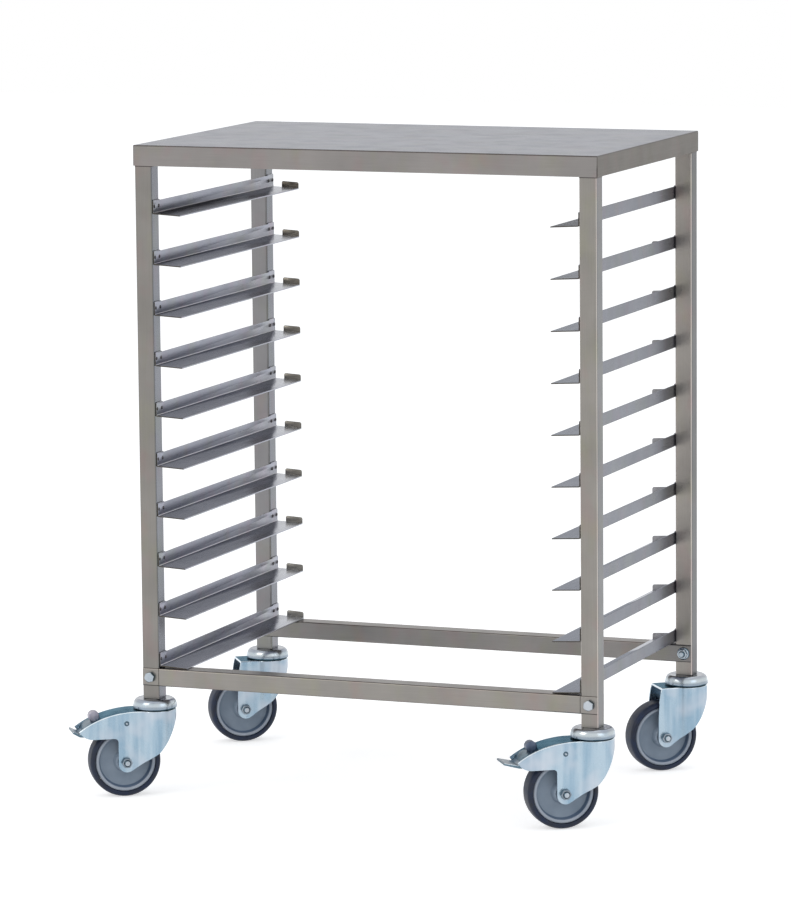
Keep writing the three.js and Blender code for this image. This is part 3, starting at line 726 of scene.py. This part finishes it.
def make_stop(name):
    """The upturned end of a right-hand runner's flange."""
    x = -runner_reach
    outline = [(x, runner_sheet - 0.3), (x + stop_width, runner_sheet - 0.3)]
    outline += arc(x + stop_width - stop_radius, stop_height - stop_radius, stop_radius, 0, 90, 6)
    outline += arc(x + stop_radius, stop_height - stop_radius, stop_radius, 90, 180, 6)
    made = prism(name, outline, runner_length - runner_sheet, runner_length)
    return drooped(soften(made, 0.3, 2, 50))


def make_rivet(name):
    """A blind rivet's head with the pit of its pulled stem, standing on x 0 and facing -x."""
    profile = [(0, 0), (rivet_radius, 0), (rivet_radius, -0.25)]
    profile += [(2.2, -0.6), (1.7, -0.8), (1.2, -rivet_height), (1.0, -0.6), (0, -0.5)]
    return crease(lathe(name, profile, 12, "x"))


def runner_finish(normal, sign, rest_steel):
    """The finish of a runner's cut end, bend, tray rest, or upright, outside or inside: painted shade on the
    cut end, a painted highlight on the inner bend, and shaded copies of the upright's steel on the tray rest
    and the upright's outside.
    """
    if abs(normal.y) > 0.8:
        return steel["runner_end_shade"]
    if -normal.x * sign > 0.2 and normal.z > 0.3:
        return steel["runner_bend"]
    if normal.z > 0.8:
        return rest_steel
    return steel["runner_back_shade" if normal.x * sign > 0.7 else "runner"]


def add_runners():
    stack, stack_sockets = rows_tree("runner_rows", ["level"])
    grid, grid_sockets = rows_tree("rivet_rows", ["pair", "leg", "level"])
    front, rear = leg_places["front_right"].y, leg_places["rear_right"].y
    start_y = (front / MM - leg_size / 2) + runner_inset
    levels = (runner_count, (0, 0, runner_pitch))
    for side, sign, rest_steel, lit_or_shaded_stop_steel in (("left", -1, left_flange_steel, left_stop_steel),
                                                ("right", 1, right_flange_steel, right_stop_steel)):
        mirror = Matrix.Scale(sign, 4, (1, 0, 0))
        x = centre.x + sign * inner_face * MM
        nodes = [f"runner_{side}_{i + 1:02d}" for i in range(runner_count)]
        for piece, finish, stood_for in ((make_runner("runners_" + side), steel["runner"], nodes),
                                         (make_stop("runner_stops_" + side), lit_or_shaded_stop_steel, ())):
            placed(piece, Matrix.Translation((x, start_y * MM, lowest_runner * MM)) @ mirror)
            if sign < 0:
                turn_outwards(piece)
            in_rows(piece, stack, stack_sockets, finish, level=levels)
            if stood_for:
                finish_faces(piece, lambda normal, at: runner_finish(normal, sign, rest_steel))
            dress(piece, None, "root", stood_for)

        rivets = make_rivet("rivets_" + side)
        at = (x - sign * (runner_sheet - 0.05) * MM, front - rivet_gap / 2 * MM,
              (lowest_runner + rivet_level) * MM)
        placed(rivets, Matrix.Translation(at) @ mirror)
        if sign < 0:
            turn_outwards(rivets)
        # The rivets take a dark steel that stands for the shade at their sides: painted shade.
        in_rows(rivets, grid, grid_sockets, steel["rivet"], pair=(2, (0, rivet_gap, 0)),
                leg=(2, (0, (rear - front) / MM, 0)), level=levels)
        dress(rivets, None, "root")


add_runners()


# ---- Screws through the legs ----

def hexagon(across_flats, turn):
    return arc(0, 0, across_flats / 2 / math.cos(math.pi / 6), turn, turn + 300, 5)


# Shares of a hexagon's width: the chamfer's inner and outer radius and its fall
chamfer_flat_share, chamfer_corner_share, chamfer_drop_share = 0.455, 0.565, 0.08


def chamfered_hexagon(name, across_flats, start, end, turn=0):
    """A hexagon along y, its outer end at end, with the turned chamfer on its corners."""
    made = prism(name, hexagon(across_flats, turn), start, end)
    flat, corner = across_flats * chamfer_flat_share, across_flats * chamfer_corner_share
    drop = chamfer_drop_share * across_flats * (1 if end > start else -1)
    cone = lathe("cone", [(0, start), (corner, start), (corner, end - drop), (flat, end), (0, end)], 48, "y")
    combine(made, cone, "INTERSECT")
    return soften(made, 0.15, 2, 30)


def fastener_finish(normal, at):
    """Bright thread ends, light end faces and darker flanks, for a fastener along y; the darker flanks are
    painted shade.
    """
    if abs(normal.y) < 0.8:
        return dark_zinc
    return fastener_zinc if math.hypot(at.x, at.z) < thread_finish_radius else lip_zinc


def threaded_rod(name, radius, start, end):
    """A rod along y whose thread shows as rings, with a chamfered end."""
    profile = [(0, start), (radius, start)]
    at = start
    while end - at > thread_pitch:
        profile += [(radius, at + 0.1), (radius - thread_depth, at + 0.55 * thread_pitch),
                    (radius, at + 0.98 * thread_pitch)]
        at += thread_pitch
    profile += [(radius - 0.7, end), (0, end)]
    return crease(lathe(name, profile, 32, "y"), 25)


screw_radius, screw_flats, screw_head = 4, 13, 5.3
washer_radius, washer = 6.2, 0.5
nut_flange_radius, nut_flange, nut_height, screw_end = 9, 1.6, 7, 2.5
thread_pitch, thread_depth, thread_finish_radius = 1.25, 0.55, 3.9
head_seat = rail_depth / 2 + slot_gap
# Degrees that each screw's head is turned, as tightened
head_turns = {"front_left": 14, "front_right": 27, "rear_left": 6, "rear_right": 22}


def add_cross_screw(corner):
    """The head faces away from the trolley; the nut is behind the leg."""
    head_foot = -head_seat - washer
    washer_face = lathe("washer_face", [(0, -head_seat), (washer_radius, -head_seat),
                                        (washer_radius, head_foot), (0, head_foot)], 40, "y")
    head = chamfered_hexagon("head", screw_flats, head_foot, -head_seat - screw_head, head_turns[corner])
    shank = threaded_rod("shank", screw_radius, -head_seat - 1, head_seat + nut_height + screw_end)
    screw = joined("frame_screw_" + corner, [crease(washer_face), head, shank])
    skirt = [(screw_radius + 0.1, head_seat), (nut_flange_radius, head_seat),
             (nut_flange_radius, head_seat + 0.7), (nut_flange_radius - 0.8, head_seat + nut_flange),
             (screw_flats / 2 + 0.6, head_seat + nut_flange + 0.7), (screw_radius + 0.1, head_seat + 2.8)]
    flange = crease(lathe("flange", skirt, 48, "y"))
    body = chamfered_hexagon("body", screw_flats, head_seat + 1, head_seat + nut_height)
    bore_radius, nut_end = screw_radius + 0.1, head_seat + nut_height
    bore = [(0, head_seat - 2), (bore_radius, head_seat - 2), (bore_radius, nut_end - 0.7),
            (bore_radius + 0.8, nut_end + 0.2), (0, nut_end + 0.2)]
    combine(body, lathe("bore", bore, 32, "y"))
    nut = joined("frame_nut_" + corner, [flange, body])
    at = moved_to(leg_places[corner], rail_middle)
    if corner.startswith("rear"):
        at = at @ Matrix.Rotation(math.pi, 4, "Z")
    for piece, node in ((screw, "cross_screw_"), (nut, "cross_nut_")):
        # The flanks take a darker zinc: painted shade.
        finish_faces(piece, lambda normal, at: fastener_zinc if abs(normal.y) > 0.8 else dark_zinc)
        placed(piece, at)
        dress(piece, None, "root", [node + corner])


for corner in CORNERS:
    add_cross_screw(corner)


# ---- Casters ----
# Each is made about its king pin, with x towards the axle, y along the axle and z 0 on the floor.

bowl_radius, bowl_bottom, bowl_top = 30.6, 122, 135.8
fork_top, fork_sheet, fork_width, head_radius = 121, 2.5, 46, 29.5
axle_height, wheel_radius = 50, 50
end_radius, end_setback, end_drop = 12, 0.8, 2
beak_root, beak_crown, crown_drop = 36, 80, 2.5
beak_reach, beak_tip, beak_bottom = 110.7, 96, 84.2
beak_round, beak_round_reach, notch_radius, web_reach = 7, 20.5, 6, 79
plain_rear = 44.5
front_knee, front_shoulder, knee_reach, knee_height = 61, 112, 17.5, 77.5
pivot_reach, pivot_height, pin_radius, pin_end = 44, 104.8, 3, 0.8
axle_hole, pin_hole, stem_radius = 4.3, 3.5, 10.6      # radii
slot_half = 20.5      # of the opening in the beak's top
fork_cut = 40      # half the width of what cuts a fork right through
lever_half, boss_radius, lip_root = 19, 4.2, 103.5
lip_reach = {"front_left": 119, "front_right": 129}
knob_reach, knob_height, knob_radius, knob_half = 87, 114, 7.6, 6.3
ring_inner, wall_inner = 37, 34.8      # radii where the rim's outer ring and the wall inside it end
pit_rim = 1.6      # radius of the bright pit in a brake pin's end


def make_swivel_head(corner):
    profile = [(0, 114.3), (7.6, 114.3), (9.4, 115.2), (10, 116.4), (10, 118.1), (5.5, 118.1), (5.5, 121.1),
               (26.4, 121.1), (26.4, 122.9), (28.6, 122.9), (29.0, bowl_bottom), (29.7, bowl_bottom + 0.2),
               (bowl_radius, bowl_bottom + 0.8), (bowl_radius - 0.1, 125)]
    profile += swept(profile[-1], (bowl_radius - 0.7, 133.0), (25.4, 135.2), 14)
    profile += [(24.6, 135.5), (23.6, 135.6), (22.6, 135.4), (16.5, 135.5), (14.5, bowl_top),
                (stem_radius, bowl_top), (stem_radius, 160), (stem_radius - 1, 161), (0, 161)]
    made = crease(lathe("swivel_bowl_" + corner, profile, 128), 34)
    placed(made, moved_to(leg_places[corner]))
    dress(made, bowl_zinc, "root", ["swivel_head_" + corner])


def front_of_fork(trail):
    """The round end about the axle, the edge that leaves it as its tangent, and the front wall."""
    x, z = trail - end_setback, axle_height - end_drop
    rise = front_knee - z
    turn = 360 - math.degrees(math.atan2(rise, -x) + math.acos(end_radius / math.hypot(x, rise)))
    points = arc(x, z, end_radius, 0, -turn, 20) + [(0, front_knee)]
    points += swept((0, front_knee), (-knee_reach, knee_height), (-head_radius, front_shoulder), 20)
    return points + [(-head_radius - 2, front_shoulder), (-head_radius - 2, fork_top)]


def braked_side(trail):
    notch = trail - end_setback + end_radius
    root, tip = (beak_root, fork_top), (beak_reach, beak_tip)
    points = [root] + swept(root, (beak_crown, fork_top - crown_drop), tip, 28)
    points += swept(tip, (beak_reach - beak_round, beak_bottom),
                    (beak_reach - beak_round_reach, beak_bottom), 8)
    points += [(notch + notch_radius, beak_bottom)]
    points += swept(points[-1], (notch, beak_bottom), (notch, beak_bottom - notch_radius), 8)
    return points + front_of_fork(trail)


def plain_side(trail):
    belly = trail - end_setback + end_radius
    points = [(plain_rear, fork_top)]
    points += swept(points[0], (belly, fork_top - fork_width / 2), (belly, axle_height + fork_width / 2), 16)
    return points + front_of_fork(trail)


def fork_plan(radius, width, length):
    """A round head whose sides ease into two parallel walls."""
    ease_degrees, ease_length = 9, 9
    half = width / 2
    meet = math.degrees(math.asin(half / radius))
    meet_x = radius * math.cos(math.radians(meet))
    side = arc(0, 0, radius, 180, meet + ease_degrees, 40)
    side += swept(side[-1], (meet_x, half), (meet_x + ease_length, half), 6) + [(length, half)]
    return side + [(x, -y) for x, y in reversed(side[1:])]


def hollow_side(braked):
    roof = fork_top - fork_sheet
    far = beak_reach + 6
    points = [(-head_radius - 2, -PAST), (far, -PAST)]
    if braked:
        tip = (beak_reach, beak_tip - fork_sheet)
        points += [(far, tip[1]), tip] + swept(tip, (beak_crown, roof - crown_drop), (beak_root, roof), 28)
    else:
        points += [(far, roof)]
    return points + [(-head_radius - 2, roof)]


def round_top_edges(obj, radius):
    """Rounds the pressed edge between the fork's top and its walls."""
    def is_top(edge):
        rises = sorted((face.normal.z for face in edge.link_faces), key=abs)
        return len(rises) == 2 and abs(rises[0]) < 0.15 and rises[1] > 0.55

    with editing(obj) as work:
        bmesh.ops.bevel(work, geom=list(filter(is_top, work.edges)), offset=radius * MM, segments=4,
                        profile=0.5, affect="EDGES", clamp_overlap=True)


def make_fork(name, braked, trail):
    side = (braked_side if braked else plain_side)(trail)
    made = prism(name, side, -fork_cut, fork_cut)
    plan = prism("plan", fork_plan(head_radius, fork_width, beak_reach + 4), -PAST, fork_top + PAST, "z")
    combine(made, plan, "INTERSECT")
    round_top_edges(made, 2.0)
    hollow = prism("hollow", hollow_side(braked), -fork_cut, fork_cut)
    inner = prism("inner", fork_plan(head_radius - fork_sheet, fork_width - 2 * fork_sheet, beak_reach + 8),
                  -PAST - 1, fork_top + PAST, "z")
    combine(hollow, inner, "INTERSECT")
    combine(made, hollow)
    if braked:
        half, far = slot_half, beak_reach + 8
        slot = arc(web_reach + half, 0, half, 235, 125, 12) + [(far, half), (far, -half)]
        combine(made, prism("slot", slot, beak_bottom, fork_top + 4, "z"))
    holes = [(trail, axle_height, axle_hole)]
    if braked:
        holes.append((pivot_reach, pivot_height, pin_hole))
    for x, z, radius in holes:
        rod = [(0, -fork_cut), (radius, -fork_cut), (radius, fork_cut), (0, fork_cut)]
        combine(made, placed(lathe("hole", rod, 32, "y"), moved(x, 0, z)))
    soften(made, 0.35, 2, 45)
    finish_faces(made, fork_finish)
    return made


def fork_finish(normal, at):
    """Painted highlight on the pressed edges round a closed top in painted shade; the axle runs along y."""
    if normal.z > 0.97 or (normal.z > 0.45 and abs(normal.y) < 0.12 and normal.x > -0.05):
        return web_shade_zinc
    return edge_highlight_zinc if normal.z > 0.2 and at.z > beak_bottom + 3 else fork_zinc


def make_tyre(name):
    crown, half, shoulder, seat = wheel_radius, 16, 6.5, 42.2
    side = [(seat, 13.6), (seat + 0.5, 15.4), (seat + 1.4, 15.8), (44.2, half)]
    fall = shoulder * 0.86
    side += [(crown - 0.35 - fall + fall * x, half - shoulder + shoulder * y)
             for x, y in arc(0, 0, 1, 90, 0, 10)]
    side += [(crown - 0.12, 6), (crown, 2.5)]
    return crease(lathe(name, both_ends(side), 128, "y"), 34)


def make_rim(name):
    """A moulded disc: a broad rounded outer ring, a dished web and a stepped hub with its bearing cover."""
    side = [(41.9, 13.2), (41.4, 13.9), (40.4, 14.4), (39.2, 14.5), (38.1, 14.1), (37.2, 13.2), (36.6, 11.8),
            (36.0, 7.6), (35.2, 6.2), (33.8, 5.3), (30, 4.9), (18, 5.0), (16.2, 5.6), (15.2, 7.0),
            (14.4, 15.5), (13.4, 17.2), (12.6, 17.6), (11.4, 17.6), (11.1, 16.9), (8.2, 16.9),
            (7.8, 19.4), (4.4, 19.4)]
    made = crease(lathe(name, both_ends(side), 128, "y"), 34)

    def rim_finish(normal, at):
        # Painted light and shade: the outer ring takes a lighter copy of the rim's plastic, and the wall
        # inside it a darker, bluer copy.
        radius = math.hypot(at.x, at.z)
        if radius > ring_inner:
            return lit_ring_plastic
        return shaded_wall_plastic if radius > wall_inner and abs(normal.y) < 0.8 else rim_plastic

    finish_faces(made, rim_finish)
    return made


def make_axle(name):
    """The axle screw with its head, and on the other side its nut, countersunk about the thread's end."""
    side = fork_width / 2
    head = chamfered_hexagon("head", screw_flats, -side - 0.3, -side - screw_head)
    nut = chamfered_hexagon("nut", screw_flats, side + 0.3, side + 6.5)
    countersink = [(0, side + 5.2), (4.2, side + 5.2), (5.4, side + 7), (0, side + 7)]
    combine(nut, lathe("countersink", countersink, 40, "y"))
    shank = threaded_rod("shank", screw_radius, -side - 1, side + 8.8)
    made = joined(name, [head, nut, shank])
    finish_faces(made, fastener_finish)
    return made


def make_brake_pin(name):
    """A riveted pin: its peened end has a ring round a shallow pit."""
    half = fork_width / 2
    end = [(0, half + 0.1), (1.2, half + 0.15), (1.7, half + pin_end), (2.5, half + pin_end - 0.05),
           (pin_radius - 0.1, half + 0.3), (pin_radius - 0.1, 0)]
    made = crease(lathe(name, both_ends(end), 40, "y"), 30)
    finish_faces(made, lambda normal, at: fastener_zinc if math.hypot(at.x, at.z) < pit_rim else dark_zinc)
    return made


def make_pedal(name, reach):
    """A pressed lever reaching past the beak's tip to a foot lip; the release knob is made on its own."""
    top = [(80, 108.4), (knob_reach, 107.7)] + swept((knob_reach, 107.7), (98, 106.2), (102, 99), 6)
    top += swept((102, 99), (104.5, 91.8), (110, 92.2), 6) + [(reach - 1, 96.2), (reach, 95.4), (reach, 93.4)]
    under = [(110, 88.2)] + swept((110, 88.2), (103.5, 86.4), (97.5, 88.5), 6) + [(80, 101.7)]
    boss = arc(pivot_reach, pivot_height, boss_radius, -30, -270, 18)
    lever = prism(name, boss + top + under, -lever_half, lever_half)
    soften(lever, 1.0, 3, 40)

    def lever_finish(normal, at):
        # Painted light: the rounded edges take a painted highlight, and the lip's top a lighter copy of the
        # lever's zinc.
        if normal.z > 0.25 and abs(normal.y) > 0.25:
            return edge_highlight_zinc
        return lip_zinc if at.x > lip_root and normal.z > 0.5 else dark_zinc

    finish_faces(lever, lever_finish)
    return lever


def make_knob(name):
    """A round release button: a disc with chamfered rims."""
    end = [(0, knob_half), (knob_radius - 1, knob_half), (knob_radius, knob_half - 0.8)]
    made = crease(lathe(name, both_ends(end), 48, "y"), 30)
    return placed(made, moved(knob_reach, 0, knob_height))


def add_caster(corner):
    swivel = Vector(joints["swivel_" + corner]["pos_m"])
    axle = Vector(joints["roll_" + corner]["pos_m"])
    arm = axle - swivel
    trail = math.hypot(arm.x, arm.y) / MM
    at = moved_to(swivel) @ Matrix.Rotation(math.atan2(arm.y, arm.x), 4, "Z")
    wheel_at = at @ moved(trail, 0, axle_height)
    braked = corner.startswith("front")
    body, wheel = "caster_" + corner, "wheel_" + corner

    make_swivel_head(corner)
    fork = placed(make_fork("fork_shell_" + corner, braked, trail), at)
    dress(fork, None, body, ["caster_fork_" + corner])
    dress(placed(make_axle("axle_bolt_" + corner), wheel_at), None, body, ["axle_screw_" + corner])
    dress(placed(make_tyre("tyre_" + corner), wheel_at), tyre_rubber, wheel, ["wheel_tyre_" + corner])
    dress(placed(make_rim("rim_" + corner), wheel_at), None, wheel, ["wheel_rim_" + corner])
    if braked:
        pin_at = at @ moved(pivot_reach, 0, pivot_height)
        pin = placed(make_brake_pin("brake_rivet_" + corner), pin_at)
        dress(pin, None, body, ["brake_pin_" + corner])
        lever = placed(make_pedal("pedal_lever_" + corner, lip_reach[corner]), at)
        dress(lever, None, "brake_" + corner, ["brake_pedal_" + corner])
        knob = placed(make_knob("pedal_knob_" + corner), at)
        # The two knobs take a lit and a shaded copy of one zinc: painted light and shade.
        knob_steel = grey_knob_steel if corner == "front_left" else dark_knob_steel
        dress(knob, knob_steel, "brake_" + corner)


for corner in CORNERS:
    add_caster(corner)


# ---- Floor, light and camera ----

def seen_directly(tree):
    """1 for the camera's rays and for those that come by a mirror or through glass, else 0."""
    path = add(tree, "ShaderNodeLightPath").outputs
    seen = worked(tree, "MAXIMUM", path["Is Camera Ray"], path["Is Glossy Ray"])
    return worked(tree, "MAXIMUM", seen, path["Is Transmission Ray"])


def make_floor():
    half, tone, glow = 12000, 0.8, 0.56
    made = mesh_object("floor", [(-half, -half, 0), (half, -half, 0), (half, half, 0), (-half, half, 0)],
                       [(0, 1, 2, 3)])
    material = bpy.data.materials.new("floor")
    tree = empty_tree(material)
    matt = add(tree, "ShaderNodeBsdfDiffuse", Color=(tone, tone, tone, 1))
    lift = worked(tree, "MULTIPLY", seen_directly(tree), glow)
    light = add(tree, "ShaderNodeEmission", Color=(1, 1, 1, 1), Strength=lift)
    both = add(tree, "ShaderNodeAddShader", _0=matt.outputs[0], _1=light.outputs[0])
    add(tree, "ShaderNodeOutputMaterial", Surface=both.outputs[0])
    made.data.materials.append(material)


def make_world():
    world = bpy.data.worlds.new("studio")
    bpy.context.scene.world = world
    tree = empty_tree(world)
    soft = add(tree, "ShaderNodeBackground", Color=(0.95, 0.97, 1.0, 1), Strength=0.72)
    white = add(tree, "ShaderNodeBackground", Color=(1, 1, 1, 1), Strength=1.0)
    mixed = add(tree, "ShaderNodeMixShader", _0=seen_directly(tree), _1=soft.outputs[0], _2=white.outputs[0])
    add(tree, "ShaderNodeOutputWorld", Surface=mixed.outputs[0])


def softbox(name, at, size, power, tint):
    lamp = bpy.data.lights.new(name, "AREA")
    lamp.shape, lamp.size, lamp.energy, lamp.color = "SQUARE", size, power, tint
    made = new_object(name, lamp)
    made.location = at
    aim = Vector((centre.x, centre.y, 0.45)) - made.location
    made.rotation_mode = "QUATERNION"
    made.rotation_quaternion = aim.to_track_quat("-Z", "Y")


def make_camera():
    """The photograph's place and viewing angle, found from the edges of legs, runners and worktop."""
    yaw, pitch, roll = map(math.radians, (21.4416, 8.1752, 0.5196))
    focal_pixels, long_side = 5103.55, 900
    aside, before, above = 2.54623, 6.58179, 1.48415      # metres from the trolley's middle and the floor
    ahead = Vector((-math.sin(yaw) * math.cos(pitch), math.cos(yaw) * math.cos(pitch), -math.sin(pitch)))
    level = Vector((math.cos(yaw), math.sin(yaw), 0))
    down = ahead.cross(level)
    right = math.cos(roll) * level + math.sin(roll) * down
    lower = math.cos(roll) * down - math.sin(roll) * level
    data = bpy.data.cameras.new("camera")
    data.sensor_width = 36
    data.lens = focal_pixels / long_side * data.sensor_width
    data.clip_start, data.clip_end = 0.1, 60
    made = new_object("camera", data)
    turn = Matrix((right, -lower, -ahead)).transposed().to_4x4()
    made.matrix_world = Matrix.Translation((centre.x + aside, centre.y - before, above)) @ turn
    bpy.context.scene.camera = made


make_floor()
make_world()
softbox("key", (-2.2, -3.2, 3.0), 2.2, 36, (1.0, 0.96, 0.9))
softbox("fill", (3.4, -1.6, 1.9), 2.0, 9, (0.88, 0.94, 1.0))
softbox("top", (0.2, 0.6, 3.6), 2.6, 10, (0.96, 0.98, 1.0))
make_camera()
bpy.context.scene.view_settings.view_transform = "Standard"
